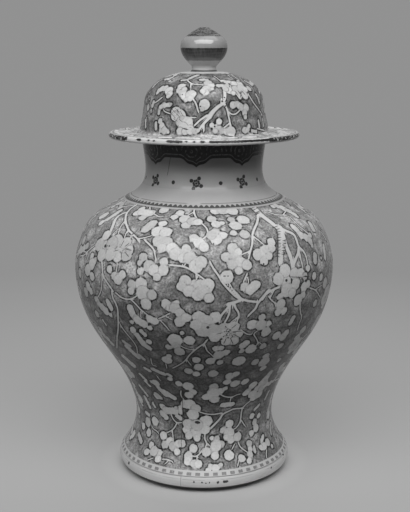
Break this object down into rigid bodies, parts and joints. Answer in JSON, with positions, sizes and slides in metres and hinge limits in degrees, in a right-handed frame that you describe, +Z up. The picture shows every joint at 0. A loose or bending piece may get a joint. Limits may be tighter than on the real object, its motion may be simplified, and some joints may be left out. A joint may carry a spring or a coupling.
{
  "type": "covered baluster jar",
  "caption": "Tall covered porcelain jar with a rounded shoulder, narrow waist, spreading foot, short neck and a hat-shaped lift-off cover with a bud finial.",
  "frame": {"origin": "centre of the flat ring that the jar stands on, at floor level", "axes": "+Z up along the axis of turning; -Y towards the side shown in the picture; +X to the right in it"},
  "size_m": [0.3036, 0.3036, 0.5196],
  "materials": {
    "white_glaze": "glossy clear glaze over a pale body, thin dark line and chips at the edge",
    "base_glaze": "thin glossy glaze, grey-white, a few pinholes",
    "painted_body": "glossy clear glaze over underglaze painting: white blossom and buds on a dark cracked-ice ground",
    "painted_neck": "glossy clear glaze, dark lappets with white scallops above small florets on pale ground",
    "painted_brim": "glossy clear glaze over underglaze painting, edge left white with worn dark dashes",
    "bare_clay": "unglazed fired clay, matt and slightly sandy",
    "painted_cover": "glossy clear glaze over underglaze painting: white blossom on a dark cracked-ice ground",
    "knob_glaze": "glossy clear glaze, dark tip and dark band round a pale bulb"
  },
  "bodies": {
    "jar": {"foot_ring": "white_glaze", "base": "base_glaze", "lower_body": "painted_body", "upper_body": "painted_body", "neck": "painted_neck"},
    "cover": {"cover_brim": "painted_brim", "cover_collar": "bare_clay", "cover_dome": "painted_cover", "knob_stem": "white_glaze", "knob": "knob_glaze"}
  },
  "joints": [
    {"name": "cover_lift", "type": "slide", "parent": "jar", "child": "cover", "axis": [0, 0, 1], "range_m": [0, 0.15]}
  ]
}
